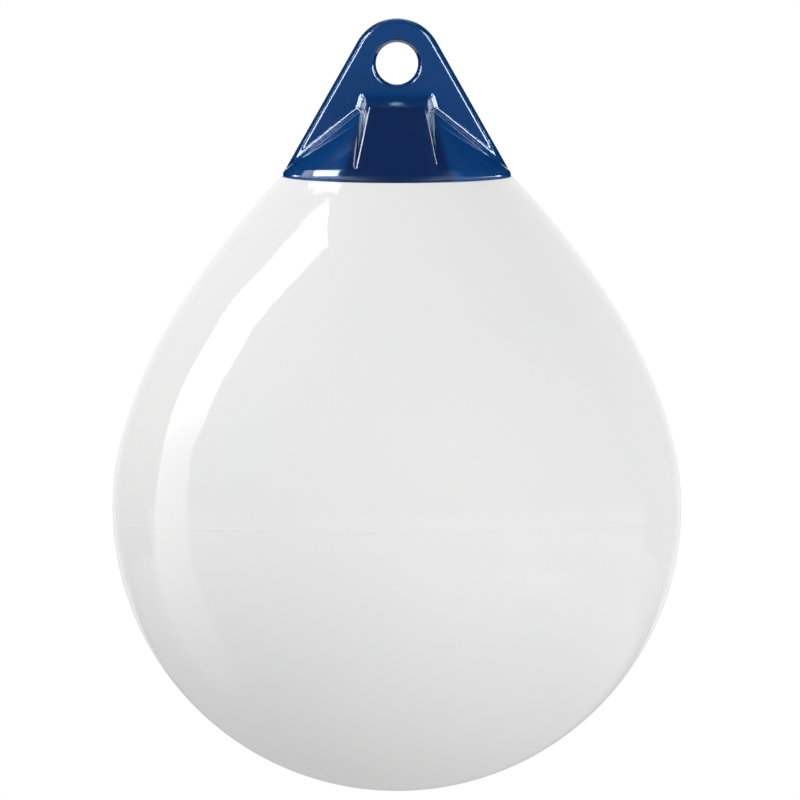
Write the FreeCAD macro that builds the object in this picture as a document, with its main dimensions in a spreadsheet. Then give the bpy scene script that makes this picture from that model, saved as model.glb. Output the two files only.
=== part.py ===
import FreeCAD
import Part
import Sketcher
import math
import os
import re

from FreeCAD import Rotation, Vector

# Ball fender: a hollow vinyl ball shaped like a drop, a moulded cap with a rope eye that
# seats on the ball's neck, and an air valve in the back of the cap.
# Frame: origin at the centre of the rope eye, +Z up along the ball's axis, the eye's bore
# along Y, the front of the cap towards -Y. Lengths in millimetres, angles in degrees.

DRIVING_DIMENSIONS = {
    # Rope eye and the tab that holds it
    "eye_diameter": 20.8,
    "eye_mouth_diameter": 23.8,
    "eye_land": 6,
    "eye_rim_round": 1.3,
    "tab_radius": 22.2,
    "tab_thickness": 16,
    "tab_draft": 12,
    "tab_edge_round": 2,
    "tab_foot_depth": 54,
    # Skirt of the cap, with its slopes above the horizontal
    "side_slope": 60.5,
    "panel_slope": 40,
    "band_proud": 0.25,
    "bend_depth": 52.5,
    "bend_round": 2,
    "skirt_top_depth": 19,
    "skirt_foot_depth": 75,
    "half_shift": 1.43,
    # Boss in the middle of the front and of the back
    "boss_top_depth": 14.9,
    "boss_top_width": 34.26,
    "boss_side_lean": 15.9,
    "boss_foot_depth": 85,
    "boss_reach": 70,
    "boss_draft": 8,
    "boss_edge_round": 1.5,
    "valley_round": 3.5,
    # Rim of the cap, let into the ball
    "rim_half_width": 56.2,
    "rim_stretch": 3.5,
    "rim_edge_round": 0.8,
    # Neck of the ball, under the cap
    "neck_foot_radius": 57.5,
    "neck_foot_depth": 60.5,
    "neck_slope": 40,
    "neck_dome_radius": 30,
    # Ball: a drop of tangent arcs, each arc's end given by the slope of its normal
    "equator_depth": 219,
    "equator_radius": 139.95,
    "bilge_radius": 138.6,
    "bilge_angle": 28.1,
    "shoulder_radius": 146.2,
    "shoulder_angle": 17.9,
    "flank_radius": 243.5,
    "flank_angle": 33.5,
    "throat_radius": 413,
    "throat_angle": 44.5,
    "inner_throat_angle": 41,
    "wall_thickness": 3.5,
    # Mould seam round the ball
    "seam_depth": 226,
    "seam_bead_radius": 0.6,
    "seam_bead_proud": 0.25,
    # Air valve in the back boss, sizes along and about its own axis
    "valve_depth": 38,
    "valve_sink": 1.3,
    "valve_length": 18.5,
    "sleeve_radius": 8.5,
    "flange_radius": 11.5,
    "flange_thickness": 2.2,
    "thread_radius": 4.5,
    "web_depth": 14,
    "web_thickness": 1.5,
    "flap_room_radius": 5.2,
    "head_radius": 6.5,
    "head_thickness": 2.4,
    "head_gap": 0.2,
    "shank_radius": 4.35,
    "shank_length": 9,
    "shank_chamfer": 0.8,
    "slot_width": 1.6,
    "slot_depth": 1.3,
    "seal_thickness": 1,
    "flap_radius": 4.2,
    "flap_thickness": 1,
    "stem_radius": 1.2,
    "knob_radius": 1.8,
    "knob_height": 1.7,
    "port_radius": 0.7,
    "port_circle_radius": 2.9,
    "port_count": 6,
}

FRONT = "XZ_Plane"
PLAN = "XY_Plane"
NEAR = 0.02

doc = FreeCAD.newDocument("ball_fender")
sheet = doc.addObject("Spreadsheet::Sheet", "Dimensions")
for row, (alias, size) in enumerate(DRIVING_DIMENSIONS.items(), start=1):
    sheet.set(f"A{row}", alias)
    sheet.set(f"B{row}", str(size))
    sheet.setAlias(f"B{row}", alias)
doc.recompute()


def bound(text):
    """The expression, with each driving dimension's name pointing at the sheet."""
    def point(word):
        name = word.group(0)
        return f"Dimensions.{name}" if name in DRIVING_DIMENSIONS else name

    return re.sub(r"[a-z_]+", point, text)


def number(text):
    return float(sheet.evalExpression(bound(text)))


def bind(thing, prop, text):
    thing.setExpression(prop, bound(text))


def at(across, up):
    return Vector(number(across), number(up), 0)


def new_body(name):
    return doc.addObject("PartDesign::Body", name)


def new_sketch(body, name, role):
    plane = next(f for f in body.Origin.OriginFeatures if f.Role == role)
    sketch = body.newObject("Sketcher::SketchObject", name)
    sketch.AttachmentSupport = [(plane, "")]
    sketch.MapMode = "FlatFace"
    return sketch


def constrain(sketch, kind, *args):
    return sketch.addConstraint(Sketcher.Constraint(kind, *args))


def size_by(sketch, kind, geometry, text):
    """A dimension of the sketch whose size follows an expression."""
    index = constrain(sketch, kind, *geometry, number(text))
    bind(sketch, f"Constraints[{index}]", text)


def hold_point(sketch, geometry, point, across=None, up=None):
    """Hold a point of the sketch at one or two expressions, or on an axis where one is 0."""
    for kind, axis, text in (("DistanceX", -2, across), ("DistanceY", -1, up)):
        if text == "0":
            constrain(sketch, "PointOnObject", geometry, point, axis)
        elif text:
            size_by(sketch, kind, (geometry, point), text)


def draw_polygon(sketch, corners):
    """A closed outline of straight lines through corners held by expressions."""
    places = [at(*corner) for corner in corners]
    lines = [sketch.addGeometry(Part.LineSegment(start, end))
             for start, end in zip(places, places[1:] + places[:1])]
    for line, following in zip(lines, lines[1:] + lines[:1]):
        constrain(sketch, "Coincident", line, 2, following, 1)
    for line, corner in zip(lines, corners):
        hold_point(sketch, line, 1, *corner)


def draw_circle(sketch, across, up, radius):
    circle = Part.Circle(at(across, up), Vector(0, 0, 1), number(radius))
    index = sketch.addGeometry(circle)
    hold_point(sketch, index, 3, across, up)
    size_by(sketch, "Radius", (index,), radius)


def draw_arc(sketch, centre, radius, start, end):
    """An anticlockwise arc, its angles in degrees."""
    circle = Part.Circle(centre, Vector(0, 0, 1), radius)
    return sketch.addGeometry(Part.ArcOfCircle(circle, math.radians(start), math.radians(end)))


def turn(body, kind, name, sketch):
    """A full revolution or groove of the sketch about its own upright axis."""
    feature = body.newObject(kind, name)
    feature.Profile = sketch
    feature.ReferenceAxis = (sketch, ["V_Axis"])
    feature.Angle = 360
    doc.recompute()
    return feature


def extrude(body, kind, name, sketch, length, both_ways=True):
    feature = body.newObject(kind, name)
    feature.Profile = sketch
    if both_ways:
        feature.SideType = "Symmetric"
    bind(feature, "Length", length)
    doc.recompute()
    return feature


def round_edges(body, name, radius, wanted):
    """Round those edges of the body for which wanted(edge) is true."""
    base = body.Tip
    names = [f"Edge{n}" for n, edge in enumerate(base.Shape.Edges, start=1) if wanted(edge)]
    fillet = body.newObject("PartDesign::Fillet", name)
    fillet.Base = (base, names)
    bind(fillet, "Radius", radius)
    doc.recompute()


def boolean(kind, name, **inputs):
    result = doc.addObject(kind, name)
    for prop, value in inputs.items():
        setattr(result, prop, value)
    result.Refine = True
    doc.recompute()
    return result


def is_level(edge, height):
    box = edge.BoundBox
    return abs(box.ZMin - height) < NEAR and abs(box.ZMax - height) < NEAR


def is_on_tab_face(edge):
    box = edge.BoundBox
    return box.YLength < NEAR and abs(box.YMin + number("tab_thickness / 2")) < NEAR


def cone_width(depth):
    """Half width, at a depth below the eye, of the outer cone that bounds the skirt."""
    return f"(tab_radius + band_proud + ({depth}) * cos(side_slope)) / sin(side_slope)"


def panel_width(depth):
    """Half width of the flatter cone whose surface shows between tab and boss."""
    return f"{cone_width('bend_depth')} - (bend_depth - ({depth})) / tan(panel_slope)"


def make_tab():
    """The tab's front half: a plate with a round top, straight sides and drafted edges,
    and the rope eye, which widens from its middle towards its mouth."""
    body = new_body("tab_form")
    sketch = new_sketch(body, "tab_outline", FRONT)
    foot_x = "(tab_radius + tab_foot_depth * cos(side_slope)) / sin(side_slope)"
    foot_z = "-tab_foot_depth"
    tilt = 90 - number("side_slope")
    arc = draw_arc(sketch, Vector(), number("tab_radius"), tilt, 180 - tilt)
    top_right = sketch.getPoint(arc, 1)
    top_left = sketch.getPoint(arc, 2)
    foot_right = at(foot_x, foot_z)
    foot_left = at(f"-({foot_x})", foot_z)
    left = sketch.addGeometry(Part.LineSegment(top_left, foot_left))
    foot = sketch.addGeometry(Part.LineSegment(foot_left, foot_right))
    right = sketch.addGeometry(Part.LineSegment(foot_right, top_right))
    constrain(sketch, "Coincident", arc, 3, -1, 1)
    size_by(sketch, "Radius", (arc,), "tab_radius")
    constrain(sketch, "Tangent", arc, 2, left, 1)
    constrain(sketch, "Coincident", left, 2, foot, 1)
    constrain(sketch, "Coincident", foot, 2, right, 1)
    constrain(sketch, "Tangent", right, 2, arc, 1)
    hold_point(sketch, right, 1, foot_x, foot_z)
    hold_point(sketch, foot, 1, f"-({foot_x})", foot_z)
    plate = extrude(body, "PartDesign::Pad", "tab_plate", sketch, "tab_thickness / 2", both_ways=False)
    bind(plate, "TaperAngle", "-tab_draft")
    doc.recompute()
    eye = new_sketch(body, "eye_profile", PLAN)
    draw_polygon(eye, [
        ("0", "tab_thickness / 2"),
        ("eye_diameter / 2", "tab_thickness / 2"),
        ("eye_diameter / 2", "-eye_land / 2"),
        ("eye_mouth_diameter / 2", "-tab_thickness / 2"),
        ("eye_mouth_diameter / 2", "-tab_thickness"),
        ("0", "-tab_thickness"),
    ])
    turn(body, "PartDesign::Groove", "rope_eye", eye)
    round_edges(body, "eye_rim", "eye_rim_round",
                lambda edge: is_on_tab_face(edge) and edge.BoundBox.XLength < number("eye_mouth_diameter + 1"))
    return body


def make_bell():
    """The skirt, turned about an axis a little in front of the middle from a profile that
    stands at the back, so that the whole front half is free of the turned faces' joint."""
    body = new_body("bell_form")
    body.Placement.Rotation = Rotation(Vector(0, 0, 1), 90)
    bind(body, "Placement.Base.y", "-half_shift")
    sketch = new_sketch(body, "bell_profile", FRONT)
    draw_polygon(sketch, [
        ("0", "-skirt_foot_depth"),
        (cone_width("skirt_foot_depth"), "-skirt_foot_depth"),
        (cone_width("bend_depth"), "-bend_depth"),
        (panel_width("skirt_top_depth"), "-skirt_top_depth"),
        ("0", "-skirt_top_depth"),
    ])
    turn(body, "PartDesign::Revolution", "bell", sketch)
    round_edges(body, "band_bend", "bend_round", lambda edge: is_level(edge, -number("bend_depth")))
    return body


def is_boss_edge(edge):
    """The upright edges of the boss's face, its brow and the shoulders of its top."""
    box = edge.BoundBox
    on_face = box.YMax < -number(cone_width("boss_top_depth"))
    to_one_side = min(abs(box.XMin), abs(box.XMax)) > 1
    upright = on_face and to_one_side and box.ZLength > number("bend_depth / 2")
    brow = on_face and box.ZMin > -1.5 * number("boss_top_depth")
    shoulder = box.YMax > -1 and box.YLength > 30 and box.ZLength < 8 and to_one_side
    return upright or brow or shoulder


def make_boss():
    """The boss: a drafted block in the middle of the front, trimmed to the outer cone."""
    body = new_body("boss_form")
    bind(body, "Placement.Base.y", "-half_shift")
    section = new_sketch(body, "boss_section", FRONT)
    bind(section, "AttachmentOffset.Base.z", "-half_shift")
    top = "boss_top_width / 2"
    foot = f"{top} + (boss_foot_depth - boss_top_depth) * tan(boss_side_lean)"
    draw_polygon(section, [
        (top, "-boss_top_depth"),
        (f"-({top})", "-boss_top_depth"),
        (f"-({foot})", "-boss_foot_depth"),
        (foot, "-boss_foot_depth"),
    ])
    block = extrude(body, "PartDesign::Pad", "boss_block", section, "boss_reach", both_ways=False)
    bind(block, "TaperAngle", "-boss_draft")
    doc.recompute()
    trim = new_sketch(body, "boss_trim", FRONT)
    draw_polygon(trim, [
        (cone_width("0"), "0"),
        (cone_width("boss_foot_depth"), "-boss_foot_depth"),
        ("boss_reach * 2", "-boss_foot_depth"),
        ("boss_reach * 2", "0"),
    ])
    turn(body, "PartDesign::Groove", "boss_face", trim)
    round_edges(body, "boss_edges", "boss_edge_round", is_boss_edge)
    return body


def make_rim_prism():
    """The rim's outline in plan: two half circles set apart, so that the edge of the cap
    dips at the front and the back, where it lies further down the ball."""
    body = new_body("rim_prism")
    sketch = new_sketch(body, "rim_plan", PLAN)
    half, stretch = number("rim_half_width"), number("rim_stretch")
    back = draw_arc(sketch, Vector(0, stretch, 0), half, 0, 180)
    front = draw_arc(sketch, Vector(0, -stretch, 0), half, 180, 360)
    left = sketch.addGeometry(Part.LineSegment(Vector(-half, stretch, 0), Vector(-half, -stretch, 0)))
    right = sketch.addGeometry(Part.LineSegment(Vector(half, -stretch, 0), Vector(half, stretch, 0)))
    constrain(sketch, "Tangent", back, 2, left, 1)
    constrain(sketch, "Tangent", left, 2, front, 1)
    constrain(sketch, "Tangent", front, 2, right, 1)
    constrain(sketch, "Tangent", right, 2, back, 1)
    hold_point(sketch, back, 3, "0", "rim_stretch")
    hold_point(sketch, front, 3, "0", "-rim_stretch")
    size_by(sketch, "Radius", (back,), "rim_half_width")
    extrude(body, "PartDesign::Pad", "rim_block", sketch, "skirt_foot_depth * 2")
    return body


def draw_neck_top(sketch, inset):
    """The neck's cone and the dome that closes it, set in by a wall's thickness or by 0.
    Returns the cone's line and the dome's arc."""
    drop = f"(neck_foot_depth + ({inset}) / cos(neck_slope))"
    radius = f"(neck_dome_radius - ({inset}))"
    touch_x = f"({radius} * sin(neck_slope))"
    touch_z = f"((neck_foot_radius - {touch_x}) * tan(neck_slope) - {drop})"
    centre_z = f"({touch_z} - {radius} * cos(neck_slope))"
    cone = sketch.addGeometry(Part.LineSegment(at("neck_foot_radius", f"-{drop}"), at(touch_x, touch_z)))
    dome = draw_arc(sketch, at("0", centre_z), number(radius), 90 - number("neck_slope"), 90)
    hold_point(sketch, cone, 1, "neck_foot_radius", f"-{drop}")
    constrain(sketch, "Tangent", cone, 2, dome, 1)
    constrain(sketch, "PointOnObject", dome, 2, -2)
    hold_point(sketch, dome, 3, "0", centre_z)
    return cone, dome


def make_neck_core():
    """The neck of the ball, which fills the inside of the cap."""
    body = new_body("neck_core")
    sketch = new_sketch(body, "neck_profile", FRONT)
    cone, dome = draw_neck_top(sketch, "0")
    wide = "neck_foot_radius + (skirt_foot_depth - neck_foot_depth) / tan(neck_slope)"
    low = "-skirt_foot_depth"
    down = sketch.addGeometry(Part.LineSegment(sketch.getPoint(dome, 2), at("0", low)))
    floor = sketch.addGeometry(Part.LineSegment(at("0", low), at(wide, low)))
    side = sketch.addGeometry(Part.LineSegment(at(wide, low), sketch.getPoint(cone, 1)))
    constrain(sketch, "Coincident", dome, 2, down, 1)
    constrain(sketch, "Coincident", down, 2, floor, 1)
    constrain(sketch, "Coincident", floor, 2, side, 1)
    constrain(sketch, "Coincident", side, 2, cone, 1)
    hold_point(sketch, down, 2, "0", low)
    hold_point(sketch, side, 1, wide, low)
    turn(body, "PartDesign::Revolution", "neck", sketch)
    return body


def draw_drop(sketch, inset, top_angle):
    """Half profile of the drop from its foot up to its throat: five arcs, each tangent to
    the next, all set in by a wall's thickness or by 0. Returns the foot and throat arcs."""
    middle = -number("equator_depth")
    bilge_angle = number("bilge_angle")
    bilge_centre = at("equator_radius - bilge_radius", "-equator_depth")
    bilge_radius = number(f"bilge_radius - ({inset})")
    foot_radius = bilge_radius + bilge_centre.x / math.cos(math.radians(bilge_angle))
    foot_centre = Vector(0, middle + bilge_centre.x * math.tan(math.radians(bilge_angle)), 0)
    foot = draw_arc(sketch, foot_centre, foot_radius, -90, -bilge_angle)
    bilge = draw_arc(sketch, bilge_centre, bilge_radius, -bilge_angle, 0)
    hold_point(sketch, foot, 3, across="0")
    hold_point(sketch, foot, 1, across="0")
    constrain(sketch, "Tangent", foot, 2, bilge, 1)
    hold_point(sketch, bilge, 3, "equator_radius - bilge_radius", "-equator_depth")
    hold_point(sketch, bilge, 1, up=f"-equator_depth - (bilge_radius - ({inset})) * sin(bilge_angle)")
    hold_point(sketch, bilge, 2, up="-equator_depth")
    size_by(sketch, "Radius", (bilge,), f"bilge_radius - ({inset})")
    stretches = [
        ("shoulder_radius", "shoulder_angle"),
        ("flank_radius", "flank_angle"),
        ("throat_radius", top_angle),
    ]
    below, start = bilge, 0
    centre = at("equator_radius - shoulder_radius", "-equator_depth")
    centre_z = "-equator_depth"
    for number_of, (radius, angle) in enumerate(stretches):
        if number_of:
            last_radius, last_angle = stretches[number_of - 1]
            step = number(f"{last_radius} - {radius}")
            turned = math.radians(number(last_angle))
            centre += Vector(step * math.cos(turned), step * math.sin(turned), 0)
            centre_z += f" + ({last_radius} - {radius}) * sin({last_angle})"
        inner_radius = f"{radius} - ({inset})"
        arc = draw_arc(sketch, centre, number(inner_radius), start, number(angle))
        constrain(sketch, "Tangent", below, 2, arc, 1)
        size_by(sketch, "Radius", (arc,), inner_radius)
        hold_point(sketch, arc, 2, up=f"{centre_z} + ({inner_radius}) * sin({angle})")
        below, start = arc, number(angle)
    return foot, below


def make_ball_shell():
    """The hollow drop, closed at the top by the neck's dome."""
    body = new_body("ball_shell")
    outer = new_sketch(body, "drop_outside", FRONT)
    foot, throat = draw_drop(outer, "0", "throat_angle")
    edge = outer.getPoint(throat, 2)
    top = "-boss_top_depth"
    corner = Vector(edge.x, number(top), 0)
    up = outer.addGeometry(Part.LineSegment(edge, corner))
    across = outer.addGeometry(Part.LineSegment(corner, at("0", top)))
    axis = outer.addGeometry(Part.LineSegment(at("0", top), outer.getPoint(foot, 1)))
    constrain(outer, "Coincident", throat, 2, up, 1)
    constrain(outer, "Vertical", up)
    constrain(outer, "Coincident", up, 2, across, 1)
    constrain(outer, "Horizontal", across)
    constrain(outer, "Coincident", across, 2, axis, 1)
    constrain(outer, "Coincident", axis, 2, foot, 1)
    hold_point(outer, axis, 1, "0", top)
    turn(body, "PartDesign::Revolution", "drop", outer)
    inner = new_sketch(body, "drop_inside", FRONT)
    foot, throat = draw_drop(inner, "wall_thickness", "inner_throat_angle")
    cone, dome = draw_neck_top(inner, "wall_thickness")
    blend = inner.addGeometry(Part.LineSegment(inner.getPoint(throat, 2), inner.getPoint(cone, 1)))
    axis = inner.addGeometry(Part.LineSegment(inner.getPoint(dome, 2), inner.getPoint(foot, 1)))
    constrain(inner, "Coincident", throat, 2, blend, 1)
    constrain(inner, "Coincident", blend, 2, cone, 1)
    constrain(inner, "Coincident", dome, 2, axis, 1)
    constrain(inner, "Coincident", axis, 2, foot, 1)
    turn(body, "PartDesign::Groove", "air_space", inner)
    return body


def make_seam_bead():
    """The raised line that the mould leaves round the ball, just under its widest place."""
    bead = doc.addObject("Part::Torus", "seam_bead")
    rise = "(seam_depth - equator_depth)"
    surface = f"equator_radius - bilge_radius + sqrt(bilge_radius * bilge_radius - {rise} * {rise})"
    bind(bead, "Radius1", f"{surface} + seam_bead_proud - seam_bead_radius")
    bind(bead, "Radius2", "seam_bead_radius")
    bind(bead, "Placement.Base.z", "-seam_depth")
    doc.recompute()
    return bead


def set_in_boss(body):
    """Put a valve piece at the back boss, its own +Z outwards, square to the boss's face."""
    body.Placement.Rotation = Rotation(Vector(1, 0, 0), -number("side_slope"))
    bind(body, "Placement.Base.y", f"{cone_width('valve_depth')} + half_shift - valve_sink * sin(side_slope)")
    bind(body, "Placement.Base.z", "-valve_depth - valve_sink * cos(side_slope)")


def turned_valve_piece(name, corners):
    body = new_body(name)
    set_in_boss(body)
    sketch = new_sketch(body, f"{name}_profile", FRONT)
    draw_polygon(sketch, corners)
    turn(body, "PartDesign::Revolution", f"{name}_turned", sketch)
    return body


def make_valve_pocket():
    """The stepped hole that the valve fills in the cap and in the ball's neck."""
    return turned_valve_piece("valve_pocket", [
        ("0", "flange_thickness * 3"),
        ("0", "-valve_length * 1.5"),
        ("sleeve_radius", "-valve_length * 1.5"),
        ("sleeve_radius", "-flange_thickness"),
        ("flange_radius", "-flange_thickness"),
        ("flange_radius", "flange_thickness * 3"),
    ])


def make_valve_body():
    """A flanged sleeve with a threaded bore, and a web with air ports near its inner end."""
    head_room = "head_radius + head_gap"
    seat = "-(head_thickness + seal_thickness)"
    web_foot = "-(web_depth + web_thickness)"
    body = turned_valve_piece("valve_body", [
        (head_room, "0"),
        ("flange_radius", "0"),
        ("flange_radius", "-flange_thickness"),
        ("sleeve_radius", "-flange_thickness"),
        ("sleeve_radius", "-valve_length"),
        ("flap_room_radius", "-valve_length"),
        ("flap_room_radius", web_foot),
        ("0", web_foot),
        ("0", "-web_depth"),
        ("thread_radius", "-web_depth"),
        ("thread_radius", seat),
        (head_room, seat),
    ])
    centre = new_sketch(body, "stem_hole_circle", PLAN)
    draw_circle(centre, "0", "0", "stem_radius")
    extrude(body, "PartDesign::Pocket", "stem_hole", centre, "valve_length * 4")
    port = new_sketch(body, "air_port_circle", PLAN)
    draw_circle(port, "port_circle_radius", "0", "port_radius")
    hole = extrude(body, "PartDesign::Pocket", "air_port", port, "valve_length * 4")
    ring = body.newObject("PartDesign::PolarPattern", "air_ports")
    ring.Originals = [hole]
    ring.Axis = (port, ["N_Axis"])
    ring.Angle = 360
    bind(ring, "Occurrences", "port_count")
    body.Tip = ring
    doc.recompute()
    return body


def make_valve_flap():
    """The soft disc that lies against the web and lets air only inwards, with its stem."""
    web_foot = "-(web_depth + web_thickness)"
    return turned_valve_piece("valve_flap", [
        ("0", f"{web_foot} - flap_thickness"),
        ("flap_radius", f"{web_foot} - flap_thickness"),
        ("flap_radius", web_foot),
        ("stem_radius", web_foot),
        ("stem_radius", "-web_depth"),
        ("knob_radius", "-web_depth"),
        ("stem_radius / 2", "knob_height - web_depth"),
        ("0", "knob_height - web_depth"),
    ])


def make_valve_plug():
    """The slotted screw plug, its head flush with the flange."""
    tip = "-(head_thickness + shank_length)"
    body = turned_valve_piece("valve_plug", [
        ("0", "0"),
        ("head_radius", "0"),
        ("head_radius", "-head_thickness"),
        ("shank_radius", "-head_thickness"),
        ("shank_radius", f"{tip} + shank_chamfer"),
        ("shank_radius - shank_chamfer", tip),
        ("0", tip),
    ])
    slot = new_sketch(body, "slot_outline", PLAN)
    draw_polygon(slot, [
        ("head_radius * 1.2", "slot_width / 2"),
        ("-head_radius * 1.2", "slot_width / 2"),
        ("-head_radius * 1.2", "-slot_width / 2"),
        ("head_radius * 1.2", "-slot_width / 2"),
    ])
    extrude(body, "PartDesign::Pocket", "slot", slot, "slot_depth * 2")
    return body


def make_plug_seal():
    """The washer under the plug's head."""
    floor = "-(head_thickness + seal_thickness)"
    return turned_valve_piece("plug_seal", [
        ("thread_radius", "-head_thickness"),
        ("head_radius", "-head_thickness"),
        ("head_radius", floor),
        ("thread_radius", floor),
    ])


def is_valley(edge):
    """The inside corners between panel, boss and tab, on the front half of the cap."""
    box = edge.BoundBox
    bend = -number("bend_depth - bend_round")
    under_eye = box.ZMax < -number("boss_top_depth")
    from_tab = abs(box.YMax + number("tab_thickness / 2")) < NEAR
    along_tab = from_tab and box.YLength < NEAR and under_eye
    beside_boss = from_tab and box.YLength > 30 and box.ZMin < bend and box.XLength < 5
    return along_tab or beside_boss


def is_tab_outline(edge):
    """The outer edge of the tab's face, from one foot over the top to the other."""
    box = edge.BoundBox
    return is_on_tab_face(edge) and box.ZMax > 1 and box.XLength > number("tab_radius / 2")


def make_cap_blank(tab, bell, boss):
    """The whole cap before its seat is cut: the front half, its inside corners rounded,
    and the same turned over at the parting plane."""
    space = doc.addObject("Part::Box", "front_space")
    for side in ("Length", "Width", "Height"):
        bind(space, side, "boss_reach * 3")
    bind(space, "Placement.Base.x", "-boss_reach * 1.5")
    bind(space, "Placement.Base.y", "-boss_reach * 3")
    bind(space, "Placement.Base.z", "-boss_reach * 1.5")
    halves = [boolean("Part::MultiCommon", f"{name}_half", Shapes=[form, space])
              for name, form in (("tab", tab), ("bell", bell), ("boss", boss))]
    front = boolean("Part::MultiFuse", "front_half", Shapes=halves)
    body = new_body("rounded_front")
    body.BaseFeature = front
    doc.recompute()
    round_edges(body, "valleys", "valley_round", is_valley)
    round_edges(body, "tab_edges", "tab_edge_round", is_tab_outline)
    back = doc.addObject("Part::Mirroring", "rounded_back")
    back.Source = body
    back.Normal = Vector(0, 1, 0)
    doc.recompute()
    return boolean("Part::MultiFuse", "cap_blank", Shapes=[body, back])


def is_rim(edge):
    """The upper edge of the cap's rim: it runs round the outside and never dips far."""
    box = edge.BoundBox
    low = -number("neck_foot_depth")
    high = -number("bend_depth")
    reaches_out = max(abs(box.XMin), abs(box.XMax)) ** 2 + max(abs(box.YMin), abs(box.YMax)) ** 2
    return low + 2 < box.ZMin and box.ZMax < high and reaches_out > number("rim_half_width") ** 2 - 1


def make_cap(blank, rim, neck, pocket):
    outlined = boolean("Part::MultiCommon", "cap_outlined", Shapes=[blank, rim])
    seated = boolean("Part::Cut", "cap_seated", Base=outlined, Tool=neck)
    bored = boolean("Part::Cut", "cap_bored", Base=seated, Tool=pocket)
    body = new_body("rope_cap")
    body.BaseFeature = bored
    doc.recompute()
    round_edges(body, "rim_edge", "rim_edge_round", is_rim)
    return body


def make_ball(shell, rim, neck, pocket, bead):
    """The shell with the cap's seat let into its neck, the valve's hole and the seam."""
    rebate = boolean("Part::Cut", "cap_rebate", Base=rim, Tool=neck)
    seated = boolean("Part::Cut", "ball_seated", Base=shell, Tool=rebate)
    bored = boolean("Part::Cut", "ball_bored", Base=seated, Tool=pocket)
    return boolean("Part::MultiFuse", "ball", Shapes=[bored, bead])


def check_document():
    """Stop if any object failed to build."""
    for thing in doc.Objects:
        if "Invalid" in thing.State or "Error" in thing.State:
            raise RuntimeError(f"{thing.Name} did not build: {thing.State}")


def write_parts(nodes):
    os.makedirs("parts", exist_ok=True)
    for name, node in nodes.items():
        shape = node.Shape
        if shape.isNull() or not shape.isValid() or len(shape.Solids) != 1:
            raise RuntimeError(f"{name} is not one valid solid")
        node.Label = name
        shape.exportStep(f"parts/{name}.step")
        print(f"{name}: {shape.Volume / 1000:.2f} cm3, {len(shape.Faces)} faces")


rim_prism = make_rim_prism()
neck_core = make_neck_core()
valve_pocket = make_valve_pocket()
cap_blank = make_cap_blank(make_tab(), make_bell(), make_boss())
sub_parts = {
    "ball": make_ball(make_ball_shell(), rim_prism, neck_core, valve_pocket, make_seam_bead()),
    "rope_cap": make_cap(cap_blank, rim_prism, neck_core, valve_pocket),
    "valve_body": make_valve_body(),
    "valve_flap": make_valve_flap(),
    "valve_plug": make_valve_plug(),
    "plug_seal": make_plug_seal(),
}
check_document()
write_parts(sub_parts)
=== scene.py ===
import math

import bmesh
import bpy
from mathutils import Matrix, Vector


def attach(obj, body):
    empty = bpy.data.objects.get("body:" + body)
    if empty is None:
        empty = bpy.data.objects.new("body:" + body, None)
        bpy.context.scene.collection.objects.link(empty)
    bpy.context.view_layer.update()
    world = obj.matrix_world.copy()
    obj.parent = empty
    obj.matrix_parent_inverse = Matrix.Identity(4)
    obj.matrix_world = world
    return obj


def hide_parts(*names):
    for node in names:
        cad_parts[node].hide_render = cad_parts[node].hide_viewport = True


# Looks of a ball fender: a hollow vinyl ball shaped like a drop, a moulded cap with a rope
# eye that seats on the ball's neck, and an air valve in the back of the cap.
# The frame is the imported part's: origin at the centre of the rope eye, +Z up along the
# ball's axis, the front of the cap towards -Y. The object's sizes are in millimetres, its
# depths are measured down from the eye's centre, and angles are in degrees. Materials,
# lamps and the camera are in metres.

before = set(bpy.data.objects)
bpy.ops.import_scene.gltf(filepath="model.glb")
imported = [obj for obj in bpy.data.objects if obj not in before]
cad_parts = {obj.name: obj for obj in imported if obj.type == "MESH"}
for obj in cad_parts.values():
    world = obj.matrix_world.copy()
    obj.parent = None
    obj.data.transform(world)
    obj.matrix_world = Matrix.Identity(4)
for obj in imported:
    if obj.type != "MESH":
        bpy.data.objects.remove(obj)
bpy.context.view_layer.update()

MM = 0.001

# Ball: a drop of tangent arcs, each given by its radius and the slope of its normal where
# it ends, and the neck that the cap hides
EQUATOR_DEPTH = 219
EQUATOR_RADIUS = 139.95
BILGE = (138.6, 28.1)
SHOULDER = (146.2, 17.9)
FLANK = (243.5, 33.5)
THROAT_RADIUS = 413
INNER_THROAT_ANGLE = 41
WALL = 3.5
NECK_FOOT_RADIUS = 57.5
NECK_FOOT_DEPTH = 60.5
NECK_SLOPE = 40
NECK_DOME_RADIUS = 30

# Ball: the mould's seam, and the slow waves of its skin
SEAM_DEPTH = 226
SEAM_HALF_WIDTH = 0.9
SEAM_PROUD = 0.14
SKIN_WAVE_SIZE = 12
SKIN_WAVE_HEIGHT = 0.07

# Ball: fineness of its mesh. Cells along the section, with finer ones for some way on both
# sides of the seam, how many cells other stretches of the section have, and turns round it
OUTER_CELL = 3.3
INNER_CELL = 11
SEAM_CELL = 0.2
SEAM_ZONE = 2.4
OUTER_COUNTS = {"throat": 26, "lip": 6, "seat": 4, "cone": 12, "dome": 8}
INNER_COUNTS = {"throat": 5, "seat": 2, "cone": 8, "dome": 5}
TURNS = 361

# Cap: its rim's outline in plan, two half circles set apart, the small round on the ball
# beside it, and the depth at which its trimmed edge starts
RIM_HALF_WIDTH = 56.2
RIM_STRETCH = 3.5
LIP_ROUND = 0.3
TRIM_DEPTH = 55.6

# Cap: the tab round the rope eye, the slope of the cap's sides, and the bosses
TAB_RADIUS = 22.2
SIDE_SLOPE = 60.5
BAND_PROUD = 0.25
TAB_THICKNESS = 16
BOSS_TOP_WIDTH = 34.26
BOSS_TOP_DEPTH = 14.9
BOSS_SIDE_LEAN = 15.9

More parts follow.
